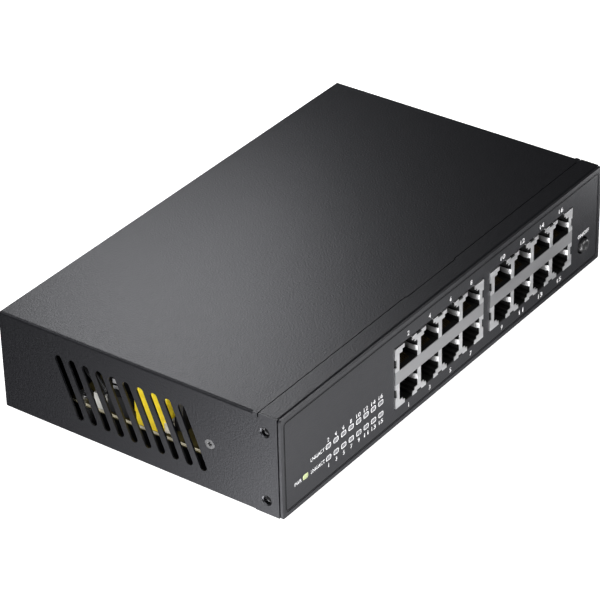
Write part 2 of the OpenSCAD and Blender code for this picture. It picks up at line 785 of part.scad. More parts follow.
// ---------------------------------------------------------------- boards

// L-shaped: a strip behind the lights, and the full depth right of the supply
module main_board() color("darkgreen") place() difference() {
    union() {
        block([main_x0, main_y0, main_bottom], [main_x1, main_y0 + strip_depth, main_top]);
        block([wide_x0, main_y0, main_bottom], [main_x1, main_y0 + main_depth, main_top]);
    }
    screw_holes(main_holes, main_bottom);
}

module screw_holes(places, z) {
    for (p = places) translate([p[0], p[1], z - 1])
        cylinder(d = screw_dia + 2 * hole_play, h = board_t + 2);
}

// Pressed studs: a shank in the floor, a threaded hole from above
module standoffs(places, top) {
    for (p = places) translate([p[0], p[1], 0]) difference() {
        union() {
            cylinder(d = shank_dia - 0.1, h = sheet);
            translate([0, 0, sheet]) cylinder(d = standoff_dia, h = top - sheet);
        }
        translate([0, 0, sheet]) cylinder(d = screw_dia + 2 * thread_play, h = top);
    }
}

module board_screws(places, z) {
    for (p = places) translate([p[0], p[1], z]) difference() {
        union() {
            cylinder(d = head_dia, h = head_t);
            translate([0, 0, -board_t - 3]) cylinder(d = screw_dia, h = board_t + 3);
        }
        for (a = [0, 90]) rotate(a) translate([-1.4, -0.3, head_t - 0.8]) cube([2.8, 0.6, 2]);
    }
}

module main_standoffs() color("silver") place() standoffs(main_holes, main_bottom);
module main_screws() color("silver") place() board_screws(main_holes, main_top);
module supply_standoffs() color("silver") place() standoffs(supply_holes, supply_bottom);
module supply_screws() color("silver") place() board_screws(supply_holes, supply_top);

// One isolating transformer block behind each port column, on two rows of feet
module port_transformers() color([0.08, 0.08, 0.08]) place()
    for (i = [0, 1]) for (col = [0 : 3])
        translate([bank_x + i * bank_pitch + (col - 1.5) * port_pitch, parts_y, main_top]) {
            translate([-coupler_size[0] / 2, 0, coupler_lift]) cube(coupler_size);
            for (s = [-1, 1]) translate([s * 5 - coupler_foot_w / 2, -coupler_toe, 0])
                cube([coupler_foot_w, coupler_size[1] + 2 * coupler_toe, coupler_lift]);
        }

module chip_block(x, y, size) {
    translate([x - size[0] / 2, y - size[1] / 2, main_top]) cube(size);
}

module switch_chip() color([0.1, 0.1, 0.1]) place() chip_block(chip_xy[0], chip_xy[1], chip_size);

module chip_pad() color("lightblue") place()
    translate([chip_xy[0] - pad_w / 2, chip_xy[1] - pad_w / 2, main_top + chip_size[2]])
        cube([pad_w, pad_w, pad_t]);

module chip_heat_sink() color("silver") place()
    translate([chip_xy[0] - sink_size[0] / 2, chip_xy[1] - sink_size[1] / 2,
            main_top + chip_size[2] + pad_t]) {
        cube([sink_size[0], sink_size[1], sink_base]);
        for (i = [0 : fin_count - 1])
            translate([i * (sink_size[0] - fin_t) / (fin_count - 1), 0, sink_base])
                cube([fin_t, sink_size[1], sink_size[2] - sink_base]);
    }

module port_driver_chips() color([0.1, 0.1, 0.1]) place()
    for (x = [bank_x - 12, bank_x + 14]) chip_block(x, parts_y + 24, [14, 14, 1.4]);

module clock_crystal() color("silver") place()
    chip_block(chip_xy[0] - 22, chip_xy[1] + 10, [11, 4.6, 3.5]);

module memory_chip() color([0.1, 0.1, 0.1]) place()
    chip_block(chip_xy[0] + 22, chip_xy[1] + 2, [5.2, 5.2, 1.6]);

module board_capacitors() color([0.15, 0.15, 0.2]) place()
    for (x = [0 : 3]) translate([wide_x0 + 20 + x * 12, parts_y + 46, main_top])
        cylinder(d = 8, h = 11);

module board_chokes() color("gray") place()
    for (x = [0, 1]) chip_block(wide_x0 + 76 + x * 16, parts_y + 49, [12, 10, 5]);

// Socket for the supply leads
module board_header() color("white") place() header(header_xy, main_top);

header_xy = [wide_x0 + 5, supply_y0 + 17.5];
output_xy = [supply_x1 - 5, supply_y0 + 17.5];
header_size = [6, 11, 6];
header_wall = 0.8;
lead_count = 4;
lead_pitch = 2.5;
lead_dia = 1.6;

// An open-topped socket with its housing wall
module header(xy, z) translate([xy[0], xy[1], z]) difference() {
    block([-header_size[0] / 2, -header_size[1] / 2, 0],
        [header_size[0] / 2, header_size[1] / 2, header_size[2]]);
    block([-header_size[0] / 2 + header_wall, -header_size[1] / 2 + header_wall, 2],
        [header_size[0] / 2 - header_wall, header_size[1] / 2 - header_wall,
            header_size[2] + 1]);
}

// ---------------------------------------------------------------- power supply

module supply_board() color("tan") place() difference() {
    block([supply_x0, supply_y0, supply_bottom], [supply_x1, supply_y1, supply_top]);
    screw_holes(supply_holes, supply_bottom);
}

// Film on the floor under the supply board, with room for its standoffs
module insulating_sheet() color([0.06, 0.06, 0.06]) place() difference() {
    block([supply_x0, supply_y0, sheet], [supply_x1, supply_y1, sheet + 0.3]);
    for (p = supply_holes) translate([p[0], p[1], 0]) cylinder(d = standoff_dia + 1, h = 3);
}

leg_x = winding_x + (winding_size[0] - leg_size[0]) / 2;
leg_y = winding_y + (winding_size[1] - leg_size[1]) / 2;
core_y0 = winding_y - core_play - outer_leg;
core_y1 = winding_y + winding_size[1] + core_play + outer_leg;
winding_z = supply_top + yoke_t + core_play + flange_t;
core_top = winding_z + winding_size[2] + core_play + yoke_t;

// Two ferrite halves around the winding
module transformer_core() color([0.16, 0.16, 0.17]) place() {
    difference() {
        block([leg_x, core_y0, supply_top], [leg_x + leg_size[0], core_y1, core_top]);
        block([leg_x - 1, core_y0 + outer_leg, supply_top + yoke_t],
            [leg_x + leg_size[0] + 1, core_y1 - outer_leg, core_top - yoke_t]);
    }
    block([leg_x, leg_y, supply_top + yoke_t],
        [leg_x + leg_size[0], leg_y + leg_size[1], core_top - yoke_t]);
}

rail_x = winding_x + tape_skirt + 0.1;
rail_w = leg_x - core_play - rail_x;
rail_h = winding_z - supply_top;

// Pin rails on both sides of the core, which hold the winding up
module transformer_bobbin() color("ivory") place()
    for (x = [rail_x, leg_x + leg_size[0] + core_play])
        translate([x, winding_y, supply_top]) {
            block([0, 0, rail_lift], [rail_w, winding_size[1] - winding_r, rail_h]);
            block([0, -rail_nose, rail_lift], [rail_nose_w, eps, rail_h]);
            for (y = [1, winding_size[1] - 3])
                block([1, y, 0], [rail_w - 1, y + 1, rail_lift + eps]);
        }

// Coil wrapped in tape, wound around the core's middle leg
module transformer_winding() color("gold") place() difference() {
    union() {
        translate([winding_x, winding_y, winding_z]) linear_extrude(winding_size[2])
            round_rect(winding_size[0], winding_size[1], winding_r);
        block([winding_x, winding_y + winding_r, supply_top + 0.1],
            [winding_x + tape_skirt, winding_y + winding_size[1] - winding_r, winding_z + 1]);
    }
    block([leg_x - core_play, leg_y - core_play, winding_z - 1],
        [leg_x + leg_size[0] + core_play, leg_y + leg_size[1] + core_play, core_top]);
}

// Round capacitor with a rolled neck near the board
module can(dia, h) difference() {
    cylinder(d = dia, h = h);
    translate([0, 0, neck_z]) difference() {
        cylinder(d = dia + 2, h = neck_h);
        translate([0, 0, -1]) cylinder(d = dia - neck_h, h = neck_h + 2);
    }
}

neck_z = 2.2;
neck_h = 0.8;

// Places its children on the supply board, from the board's front left corner
module on_supply(xy) place() translate([supply_x0 + xy[0], supply_y0 + xy[1], supply_top])
    children();

module bulk_capacitor() color([0.1, 0.1, 0.11]) on_supply(cap_xy) can(cap_dia, cap_h);

module output_capacitors() color([0.1, 0.12, 0.2])
    for (p = small_cap_xy) on_supply(p) can(small_cap_dia, small_cap_h);

// Drum wound with enamelled wire
module output_choke() color("olive") on_supply(choke_xy) rotate_extrude()
    polygon([[0, 0], [choke_dia / 2, 0], [choke_dia / 2, choke_lip],
        [choke_dia / 2 - choke_step, choke_lip + 0.4],
        [choke_dia / 2 - choke_step, choke_h - choke_lip - 0.4],
        [choke_dia / 2, choke_h - choke_lip], [choke_dia / 2, choke_h], [0, choke_h]]);

module output_header() color("white") place() header(output_xy, supply_top);

plate_xy = [32, 24];
plate_size = [10, 22, 22];
plate_t = 2;
transistor_size = [4.5, 10, 15];

// Angle with an upright plate and a flange on top
module supply_heat_sink() color("silver") on_supply(plate_xy) {
    cube([plate_t, plate_size[1], plate_size[2]]);
    translate([0, 0, plate_size[2] - plate_t]) cube([plate_size[0], plate_size[1], plate_t]);
}

// Transistor held flat against the upright plate
module power_transistor() color([0.1, 0.1, 0.1]) on_supply(plate_xy)
    translate([plate_t, 6, 4]) cube(transistor_size);

module bridge_rectifier() color([0.12, 0.12, 0.12]) on_supply(bridge_xy) cube(bridge_size);

module suppression_capacitor() color("goldenrod") on_supply(box_xy) cube(box_size);

// Ring choke standing on edge
module line_choke() color("darkorange") on_supply(ring_xy)
    translate([0, 0, ring_z]) rotate([0, 90, 0]) rotate_extrude()
        translate([ring_r, 0]) circle(r = ring_wire_r);

module line_fuse() color([0.25, 0.16, 0.1]) on_supply(fuse_xy) cube(fuse_size);

// Socket for the mains leads at the board's left edge
module mains_header() color("white") on_supply(mains_xy) difference() {
    cube(mains_size);
    translate([header_wall, header_wall, 2])
        cube([mains_size[0] - 2 * header_wall, mains_size[1] - 2 * header_wall, mains_size[2]]);
}

// ---------------------------------------------------------------- mains inlet

// Cavity outline: a rectangle whose upper corners are cut off
module inlet_outline(w, h, cut) polygon([[-w / 2, -h / 2], [w / 2, -h / 2],
    [w / 2, h / 2 - cut], [w / 2 - cut, h / 2], [-w / 2 + cut, h / 2], [-w / 2, h / 2 - cut]]);

module inlet_housing() color([0.08, 0.08, 0.08]) place() difference() {
    union() {
        along_y(rear_y, body_d + inlet_flange_t) translate([inlet_x - inlet_flange[0] / 2,
            inlet_z - inlet_flange[1] / 2]) round_rect(inlet_flange[0], inlet_flange[1], 3);
        block([inlet_x - inlet_body[0] / 2, rear_y - inlet_body[1],
                inlet_z - inlet_body[2] / 2],
            [inlet_x + inlet_body[0] / 2, rear_y, inlet_z + inlet_body[2] / 2]);
    }
    along_y(body_d + inlet_flange_t - inlet_cavity_depth, body_d + inlet_flange_t + 1)
        translate([inlet_x, inlet_z]) inlet_outline(inlet_cavity[0], inlet_cavity[1], 4);
    for (s = [-1, 1]) translate([inlet_x + s * inlet_screws_span / 2, 0, inlet_z]) {
        rod_y(0, 0, rear_y - 1, body_d + inlet_flange_t + 1, screw_dia + 2 * hole_play);
        translate([0, body_d + inlet_flange_t + eps, 0]) rotate([90, 0, 0])
            cylinder(d1 = head_dia + 0.4, d2 = screw_dia, h = 1.4);
    }
    for (p = pin_places) inlet_pin(p, window_play);
}

pin_places = [[-7, -2], [0, 2], [7, -2]];

// One flat blade, through the rear of the cavity and out to its tab
module inlet_pin(p, play) {
    back = rear_y - inlet_body[1] - tab_reach;
    front = body_d + inlet_flange_t - inlet_cavity_depth + pin_reach;
    block([inlet_x + p[0] - pin_size[0] / 2 - play, back, inlet_z + p[1] - pin_size[1] / 2 - play],
        [inlet_x + p[0] + pin_size[0] / 2 + play, front, inlet_z + p[1] + pin_size[1] / 2 + play]);
}

module inlet_pins() color("silver") place() for (p = pin_places) inlet_pin(p, 0);

module inlet_screws() color("silver") place() for (s = [-1, 1]) difference() {
    translate([inlet_x + s * inlet_screws_span / 2, body_d + inlet_flange_t, inlet_z])
        rotate([90, 0, 0]) {
            cylinder(d1 = head_dia, d2 = screw_dia - 0.3, h = 1.4);
            cylinder(d = screw_dia, h = 7);
        }
    for (a = [0, 90]) translate([inlet_x + s * inlet_screws_span / 2,
            body_d + inlet_flange_t, inlet_z])
        rotate([0, a, 0]) translate([-1.2, -0.7, -0.25]) cube([2.4, 2, 0.5]);
}

// Ends of the leads
tab_y = rear_y - inlet_body[1] - tab_reach;
plug_z = supply_top + 2;
earth_xy = [inlet_x + 22, rear_y - 8];
crimp_dia = 2.6;

// Two insulated leads from the inlet's outer blades to the supply board
module mains_leads() color([0.1, 0.1, 0.1]) place() for (i = [0, 1]) {
    pin = pin_places[2 * i];
    x = supply_x0 + mains_xy[0] + mains_size[0] / 2;
    y = supply_y0 + mains_xy[1] + mains_size[1] / 2 + (0.5 - i) * 2.2;
    high = supply_top + 12 + 2 * i;
    wire([[inlet_x + pin[0], tab_y, inlet_z + pin[1]],
        [inlet_x + pin[0], tab_y - 1.5, inlet_z + pin[1] + 0.6],
        [inlet_x + pin[0] - 5, tab_y - 3.2, inlet_z + pin[1] + 4 + i],
        [x + 6, supply_y1 - 1 + i, high], [x, y + 5, high],
        [x, y, supply_top + 8.5], [x, y, plug_z]], lead_dia);
}

// Lead from the earth blade down to the barrel of a ring under the screw in the floor
module earth_lead() color("green") place() {
    pin = pin_places[1];
    crimp_y = earth_xy[1] - 8;
    crimp_z = sheet + crimp_dia / 2;
    wire([[inlet_x + pin[0], tab_y, inlet_z + pin[1]],
        [inlet_x + pin[0] + 1, tab_y - 1.8, inlet_z + pin[1] - 0.6],
        [inlet_x + 7, tab_y - 2.6, inlet_z - 4],
        [inlet_x + 16, tab_y - 1.5, inlet_z - 11],
        [earth_xy[0] - 1, tab_y + 1, crimp_z + 1], [earth_xy[0], crimp_y, crimp_z]],
        lead_dia);
    difference() {
        union() {
            translate([earth_xy[0], earth_xy[1], sheet]) cylinder(d = 7, h = 1);
            rod_y(earth_xy[0], crimp_z, crimp_y, earth_xy[1] - 3, crimp_dia);
        }
        translate([earth_xy[0], earth_xy[1], 0]) cylinder(d = screw_dia + 0.4, h = 4);
    }
}

module earth_screw() color("silver") place() translate([earth_xy[0], earth_xy[1], 0])
    difference() {
        union() {
            translate([0, 0, sheet + 1]) cylinder(d = head_dia, h = head_t);
            cylinder(d = screw_dia, h = sheet + 1);
        }
        for (a = [0, 90]) rotate(a) translate([-1.4, -0.3, sheet + head_t + 0.2])
            cube([2.8, 0.6, 2]);
    }

// Four leads from the supply's output to the main board
module supply_leads() color("firebrick") place() for (i = [0 : lead_count - 1]) {
    y = (i - (lead_count - 1) / 2) * lead_pitch;
    wire([[output_xy[0], output_xy[1] + y, supply_top + 2],
        [output_xy[0], output_xy[1] + y, supply_top + 9],
        [output_xy[0] + 3, output_xy[1] + y, supply_top + 12],
        [header_xy[0] - 3, header_xy[1] + y, supply_top + 11],
        [header_xy[0], header_xy[1] + y, main_top + 9],
        [header_xy[0], header_xy[1] + y, main_top + 2]], lead_dia);
}

// ---------------------------------------------------------------- choice of node

chassis_tray();
top_cover();
front_fascia();
front_overlay();
cover_side_screws();
cover_rear_screws();
ear_nuts();
rubber_feet();
left_port_housing();
left_port_shield();
left_port_contacts();
right_port_housing();
right_port_shield();
right_port_contacts();
link_light_pipes();
power_light_pipe();
light_holders();
light_chips();
button_cap();
button_plunger();
button_spring();
button_switch_case();
main_board();
main_standoffs();
main_screws();
port_transformers();
switch_chip();
chip_pad();
chip_heat_sink();
port_driver_chips();
clock_crystal();
memory_chip();
board_capacitors();
board_chokes();
board_header();
supply_board();
supply_standoffs();
supply_screws();
insulating_sheet();
transformer_core();
transformer_bobbin();
transformer_winding();
bulk_capacitor();
output_capacitors();
output_choke();
output_header();
supply_heat_sink();
power_transistor();
bridge_rectifier();
suppression_capacitor();
line_choke();
line_fuse();
mains_header();
inlet_housing();
inlet_pins();
inlet_screws();
mains_leads();
supply_leads();
earth_lead();
earth_screw();
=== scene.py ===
import bpy
import bmesh
import math
from mathutils import Matrix, Vector


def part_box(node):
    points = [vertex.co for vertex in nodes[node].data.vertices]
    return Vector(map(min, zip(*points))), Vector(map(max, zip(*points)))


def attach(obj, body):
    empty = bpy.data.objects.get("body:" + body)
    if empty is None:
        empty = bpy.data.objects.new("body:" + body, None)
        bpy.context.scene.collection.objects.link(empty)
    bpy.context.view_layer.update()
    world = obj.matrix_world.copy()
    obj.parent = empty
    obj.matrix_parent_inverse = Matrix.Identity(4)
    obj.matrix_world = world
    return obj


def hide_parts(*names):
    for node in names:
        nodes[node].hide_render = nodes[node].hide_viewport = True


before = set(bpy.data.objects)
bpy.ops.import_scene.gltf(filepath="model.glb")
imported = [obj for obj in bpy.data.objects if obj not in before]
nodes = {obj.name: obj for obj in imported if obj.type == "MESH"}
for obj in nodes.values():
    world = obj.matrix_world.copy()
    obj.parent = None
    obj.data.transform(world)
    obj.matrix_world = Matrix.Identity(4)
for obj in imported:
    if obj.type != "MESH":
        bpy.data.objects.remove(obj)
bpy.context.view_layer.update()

# ---------------------------------------------------------------- studio
# The switch stands on a glowing white table in a photo studio. Soft boxes hang close over
# its far side, and others below the table's edge light its walls, brightest at the front
# left. The camera looks down on the front left corner through a long lens.

bpy.ops.object.select_all(action="DESELECT")
bpy.ops.mesh.primitive_plane_add(size=6, location=(0, 0, -0.0002))
table = bpy.context.object
table.name = "studio_table"
bpy.ops.object.transform_apply(location=True, rotation=True, scale=True)
table_white = bpy.data.materials.new("table_white")
table_white.use_nodes = True
shader = table_white.node_tree.nodes["Principled BSDF"]
shader.inputs["Base Color"].default_value = (0.82, 0.82, 0.82, 1)
shader.inputs["Roughness"].default_value = 0.9
shader.inputs["Specular IOR Level"].default_value = 0.1
shader.inputs["Emission Color"].default_value = (1, 1, 1, 1)
shader.inputs["Emission Strength"].default_value = 1
table.data.materials.append(table_white)
table.visible_glossy = False
table.visible_shadow = False


def soft_box(name, place, aim, wide, tall, power):
    """Hangs a soft box at a place, turned to face a point."""
    bpy.ops.object.light_add(type="AREA", location=place)
    box = bpy.context.object
    box.name = name
    box.data.shape = "RECTANGLE"
    box.data.size = wide
    box.data.size_y = tall
    box.data.energy = power
    box.visible_camera = False
    towards = Vector(aim) - Vector(place)
    box.rotation_euler = towards.to_track_quat("-Z", "Y").to_euler()


soft_box("high_far_box", (0.05, 0.40, 0.38), (-0.05, 0, 0.04), 0.35, 0.35, 0.25)
soft_box("high_right_box", (0.22, 0.27, 0.38), (0, 0, 0.04), 0.35, 0.35, 0.15)
soft_box("near_top_box", (0.10, 0.16, 0.22), (-0.08, 0, 0.04), 0.14, 0.14, 0.25)
soft_box("low_left_box", (-0.35, 0.10, -0.18), (-0.107, -0.05, 0.02), 0.20, 0.20, 0.15)
soft_box("low_corner_box", (-0.22, -0.02, -0.08), (-0.107, -0.05, 0.02), 0.10, 0.10, 0.10)
soft_box("low_front_strip", (0, -0.15, -0.05), (0, -0.06, 0.04), 0.25, 0.05, 0.06)
soft_box("low_wide_box", (-0.02, -0.25, -0.12), (-0.05, -0.06, 0.03), 0.20, 0.10, 0.05)
soft_box("low_right_strip", (0.22, -0.11, -0.01), (0.1, -0.06, 0.035), 0.25, 0.02, 0.06)
soft_box("low_far_strip", (0.28, -0.20, -0.05), (0.08, -0.06, 0.035), 0.30, 0.05, 0.06)
soft_box("front_box", (0.2, -1.1, 0.6), (0, 0, 0.02), 0.7, 0.5, 8)
soft_box("left_box", (-1.0, -0.1, 0.6), (0, 0, 0.02), 0.7, 0.5, 8)
soft_box("left_far_box", (-0.5, 0.5, 0.68), (-0.1, 0, 0.04), 0.12, 0.12, 0.8)
soft_box("low_near_box", (-0.36, -0.40, -0.25), (-0.107, -0.064, 0.02), 0.15, 0.15, 2.2)
soft_box("low_rim_box", (-0.19, -0.12, -0.24), (-0.107, 0, 0.02), 0.10, 0.10, 0.8)
soft_box("front_rim_box", (-0.06, -0.33, -0.06), (0.095, -0.064, 0.012), 0.08, 0.22, 0.15)
soft_box("low_rear_box", (0, 0.40, -0.16), (0, 0.06, 0.02), 0.30, 0.16, 0.25)
soft_box("low_side_box", (0.42, 0.05, -0.16), (0.107, 0, 0.02), 0.20, 0.16, 0.20)

world = bpy.data.worlds.new("studio_air")
bpy.context.scene.world = world
world.use_nodes = True
world.node_tree.nodes["Background"].inputs["Color"].default_value = (0.95, 0.97, 1, 1)
world.node_tree.nodes["Background"].inputs["Strength"].default_value = 0.04
bpy.context.scene.view_settings.view_transform = "Standard"

look_right = math.radians(53.51)
look_down = math.radians(32.13)
roll = math.radians(-1.36)
bpy.ops.object.camera_add(location=(-0.7707, -0.5670, 0.6164))
camera = bpy.context.object
turn = Matrix.Rotation(-look_right, 3, "Z") @ Matrix.Rotation(math.pi / 2 - look_down, 3, "X")
camera.rotation_euler = (turn @ Matrix.Rotation(roll, 3, "Z")).to_euler()
camera.data.lens = 175.8
camera.data.sensor_width = 36
camera.data.shift_x = -0.0101
camera.data.shift_y = -0.002
camera.data.clip_start = 0.05
bpy.context.scene.camera = camera

# ---------------------------------------------------------------- sheet steel case
# The tray and the cover are folded from 0.8 mm steel sheet and powder coated in a
# satin charcoal with a fine grain. The coat drifts a little in tone and gloss.


def new_finish(name, colour, roughness, metallic=0.0, specular=0.5, sheen=(1, 1, 1)):
    """Starts a finish whose colour and gloss are even until something varies them."""
    finish = bpy.data.materials.new(name)
    finish.use_nodes = True
    shader = finish.node_tree.nodes["Principled BSDF"]
    shader.inputs["Base Color"].default_value = (*colour, 1)
    shader.inputs["Roughness"].default_value = roughness
    shader.inputs["Metallic"].default_value = metallic
    shader.inputs["Specular IOR Level"].default_value = specular
    shader.inputs["Specular Tint"].default_value = (*sheen, 1)
    return finish


def pattern_space(finish, stretch=(1, 1, 1), turn=(0, 0, 0), centre=(0, 0, 0)):
    """The piece's own coordinates in metres, moved, turned or stretched for a pattern."""
    tree = finish.node_tree
    place = tree.nodes.new("ShaderNodeTexCoord")
    mapping = tree.nodes.new("ShaderNodeMapping")
    mapping.vector_type = "POINT"
    mapping.inputs["Location"].default_value = [-c * s for c, s in zip(centre, stretch)]
    mapping.inputs["Scale"].default_value = stretch
    mapping.inputs["Rotation"].default_value = turn
    tree.links.new(place.outputs["Object"], mapping.inputs["Vector"])
    return mapping.outputs["Vector"]


def mottle(finish, dark, light, scale, smooth, dull, stretch=(1, 1, 1)):
    """Drifts the colour and the gloss together over the surface."""
    tree = finish.node_tree
    shader = tree.nodes["Principled BSDF"]
    cloud = tree.nodes.new("ShaderNodeTexNoise")
    cloud.inputs["Scale"].default_value = scale
    cloud.inputs["Detail"].default_value = 4
    tree.links.new(pattern_space(finish, stretch), cloud.inputs["Vector"])
    tint = tree.nodes.new("ShaderNodeValToRGB")
    tint.name = "tint"
    tint.color_ramp.elements[0].position = 0.3
    tint.color_ramp.elements[0].color = (*dark, 1)
    tint.color_ramp.elements[1].position = 0.7
    tint.color_ramp.elements[1].color = (*light, 1)
    tree.links.new(cloud.outputs["Fac"], tint.inputs["Fac"])
    tree.links.new(tint.outputs["Color"], shader.inputs["Base Color"])
    gloss = tree.nodes.new("ShaderNodeMapRange")
    gloss.inputs["From Min"].default_value = 0.3
    gloss.inputs["From Max"].default_value = 0.7
    gloss.inputs["To Min"].default_value = smooth
    gloss.inputs["To Max"].default_value = dull
    tree.links.new(cloud.outputs["Fac"], gloss.inputs["Value"])
    tree.links.new(gloss.outputs["Result"], shader.inputs["Roughness"])


def grain(finish, scale, depth, stretch=(1, 1, 1)):
    """Raises a fine grain of the given depth in metres."""
    tree = finish.node_tree
    grit = tree.nodes.new("ShaderNodeTexNoise")
    grit.inputs["Scale"].default_value = scale
    grit.inputs["Detail"].default_value = 2
    tree.links.new(pattern_space(finish, stretch), grit.inputs["Vector"])
    bump = tree.nodes.new("ShaderNodeBump")
    bump.inputs["Strength"].default_value = 1
    bump.inputs["Distance"].default_value = depth
    tree.links.new(grit.outputs["Fac"], bump.inputs["Height"])
    tree.links.new(bump.outputs["Normal"], tree.nodes["Principled BSDF"].inputs["Normal"])


def dress(finish, *names):
    """Gives CAD pieces their finish."""
    for name in names:
        nodes[name].material_slots[0].material = finish


def soften(name, width, segments=2):
    """Breaks the sharp edges of a CAD piece by a given width."""
    piece = nodes[name]
    weld = piece.modifiers.new("weld", "WELD")
    weld.merge_threshold = 0.000002
    flat = piece.modifiers.new("flat_faces", "DECIMATE")
    flat.decimate_type = "DISSOLVE"
    flat.angle_limit = math.radians(0.6)
    edge = piece.modifiers.new("broken_edges", "BEVEL")
    edge.width = width
    edge.segments = segments
    edge.limit_method = "ANGLE"
    edge.angle_limit = math.radians(35)
    even = piece.modifiers.new("even_faces", "WEIGHTED_NORMAL")
    even.mode = "FACE_AREA"
    even.weight = 100


cool_sheen = (0.91, 0.92, 1.0)
charcoal_coat = new_finish("charcoal_coat", (0.005, 0.005, 0.006), 0.40, sheen=cool_sheen)
mottle(charcoal_coat, (0.0040, 0.0040, 0.0048), (0.0062, 0.0062, 0.0074), 900, 0.37, 0.41)
grain(charcoal_coat, 1300, 0.00009)
dress(charcoal_coat, "chassis_tray", "top_cover")

# ---------------------------------------------------------------- fascia and overlay
# The fascia is moulded in charcoal plastic and pegged to the front wall. A printed
# polyester film with a satin face lies in its recess.

fascia_plastic = new_finish("fascia_plastic", (0.022, 0.022, 0.024), 0.4, sheen=cool_sheen)
mottle(fascia_plastic, (0.009, 0.009, 0.010), (0.014, 0.014, 0.0155), 500, 0.34, 0.46)
grain(fascia_plastic, 1800, 0.00002)
dress(fascia_plastic, "front_fascia")
soften("front_fascia", 0.00012)
soften("top_cover", 0.00012)

overlay_film = new_finish("overlay_film", (0.02, 0.02, 0.022), 0.4, sheen=cool_sheen)
mottle(overlay_film, (0.008, 0.008, 0.009), (0.011, 0.011, 0.0122), 320, 0.38, 0.44)
grain(overlay_film, 1600, 0.00006)
dress(overlay_film, "front_overlay")

# ---------------------------------------------------------------- screws and ear nuts
# The cover is held by blackened machine screws, round at the rear and countersunk at the
# sides, whose steel is made lighter as a painted highlight for their glints. Dull zinc nuts
# are pressed into the tray behind the four ear holes, and bright zinc plated screws and
# posts hold the boards.

blackened_steel = new_finish("blackened_steel", (0.12, 0.12, 0.125), 0.38, metallic=1)
mottle(blackened_steel, (0.09, 0.09, 0.095), (0.16, 0.16, 0.165), 900, 0.30, 0.48)
grain(blackened_steel, 3000, 0.00001)
dress(blackened_steel, "cover_rear_screws")

# The side screws' steel is lighter than the rear screws': a painted highlight for their glints.
painted_glint_steel = new_finish("painted_glint_steel", (0.18, 0.18, 0.185), 0.34, metallic=1)
mottle(painted_glint_steel, (0.12, 0.12, 0.125), (0.25, 0.25, 0.255), 1600, 0.28, 0.42)
grain(painted_glint_steel, 3000, 0.00001)
dress(painted_glint_steel, "cover_side_screws")
soften("cover_side_screws", 0.00008)
soften("cover_rear_screws", 0.00012)

zinc_plate = new_finish("zinc_plate", (0.7, 0.7, 0.71), 0.42, metallic=1)
mottle(zinc_plate, (0.60, 0.60, 0.61), (0.78, 0.78, 0.80), 1200, 0.36, 0.5)
grain(zinc_plate, 2500, 0.00001)
dress(zinc_plate, "main_standoffs", "supply_standoffs", "main_screws",
      "supply_screws", "inlet_screws", "earth_screw", "clock_crystal")

dull_zinc = new_finish("dull_zinc", (0.34, 0.34, 0.35), 0.55, metallic=1)
mottle(dull_zinc, (0.28, 0.28, 0.29), (0.40, 0.40, 0.41), 1200, 0.5, 0.62)
grain(dull_zinc, 2500, 0.00001)
dress(dull_zinc, "ear_nuts")
soften("ear_nuts", 0.0002)

# ---------------------------------------------------------------- rubber feet
# Four round feet of black rubber are stuck under the floor. Each has a rounded rim and
# a shallow hollow in its underside, which grips the table.

rubber = new_finish("foot_rubber", (0.012, 0.012, 0.012), 0.8, specular=0.3)
mottle(rubber, (0.010, 0.010, 0.010), (0.018, 0.018, 0.018), 700, 0.7, 0.9)
grain(rubber, 3500, 0.00003)
feet_low, feet_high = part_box("rubber_feet")
foot_r = 0.005
foot_tall = feet_high[2] - feet_low[2]
foot_rim = 0.0014
hollow_slope = 0.0008
hollow_depth = 0.0005


def pick_faces(piece, test):
    """Selects the faces whose centre and normal pass a test, in edit mode."""
    bpy.ops.object.mode_set(mode="EDIT")
    bpy.ops.mesh.select_mode(type="FACE")
    shape = bmesh.from_edit_mesh(piece.data)
    for face in shape.faces:
        face.select_set(test(face.calc_center_median(), face.normal))
    shape.select_flush_mode()
    bmesh.update_edit_mesh(piece.data)


def round_edges(piece, width, segments=3, above=30):
    """Rounds every edge sharper than an angle and smooths what is nearly flat."""
    rounded = piece.modifiers.new("rounded", "BEVEL")
    rounded.width = width
    rounded.segments = segments
    rounded.limit_method = "ANGLE"
    rounded.angle_limit = math.radians(above)
    bpy.ops.object.modifier_apply(modifier="rounded")
    bpy.ops.object.shade_smooth_by_angle(angle=math.radians(35))


def own_copy(piece, name, shift):
    """A copy with its own mesh, moved by a distance."""
    twin = piece.copy()
    twin.data = piece.data.copy()
    twin.name = name
    twin.data.transform(Matrix.Translation(shift))
    bpy.context.collection.objects.link(twin)
    return twin


bpy.ops.object.select_all(action="DESELECT")
foot_place = (feet_low[0] + foot_r, feet_low[1] + foot_r, foot_tall / 2)
bpy.ops.mesh.primitive_cylinder_add(vertices=56, radius=foot_r, depth=foot_tall,
                                    location=foot_place)
foot = bpy.context.object
foot.name = "foot_1"
bpy.ops.object.transform_apply(location=True, rotation=True, scale=True)
pick_faces(foot, lambda centre, normal: normal.z < -0.9)
bpy.ops.mesh.inset(thickness=foot_rim)
bpy.ops.mesh.inset(thickness=hollow_slope)
bpy.ops.transform.translate(value=(0, 0, hollow_depth))
bpy.ops.object.mode_set(mode="OBJECT")
round_edges(foot, 0.0003)
foot.data.materials.append(rubber)
across = feet_high[0] - feet_low[0] - 2 * foot_r
along = feet_high[1] - feet_low[1] - 2 * foot_r
feet = [foot] + [own_copy(foot, f"foot_{i}", shift) for i, shift in
                 enumerate([(across, 0, 0), (0, along, 0), (across, along, 0)], start=2)]
for each in feet:
    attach(each, "case")
    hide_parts("rubber_feet")

# ---------------------------------------------------------------- port banks
# Each bank is a black moulded block of eight ports with gold-plated spring contacts,
# inside a shield folded from thin nickel-plated sheet with spring fingers.

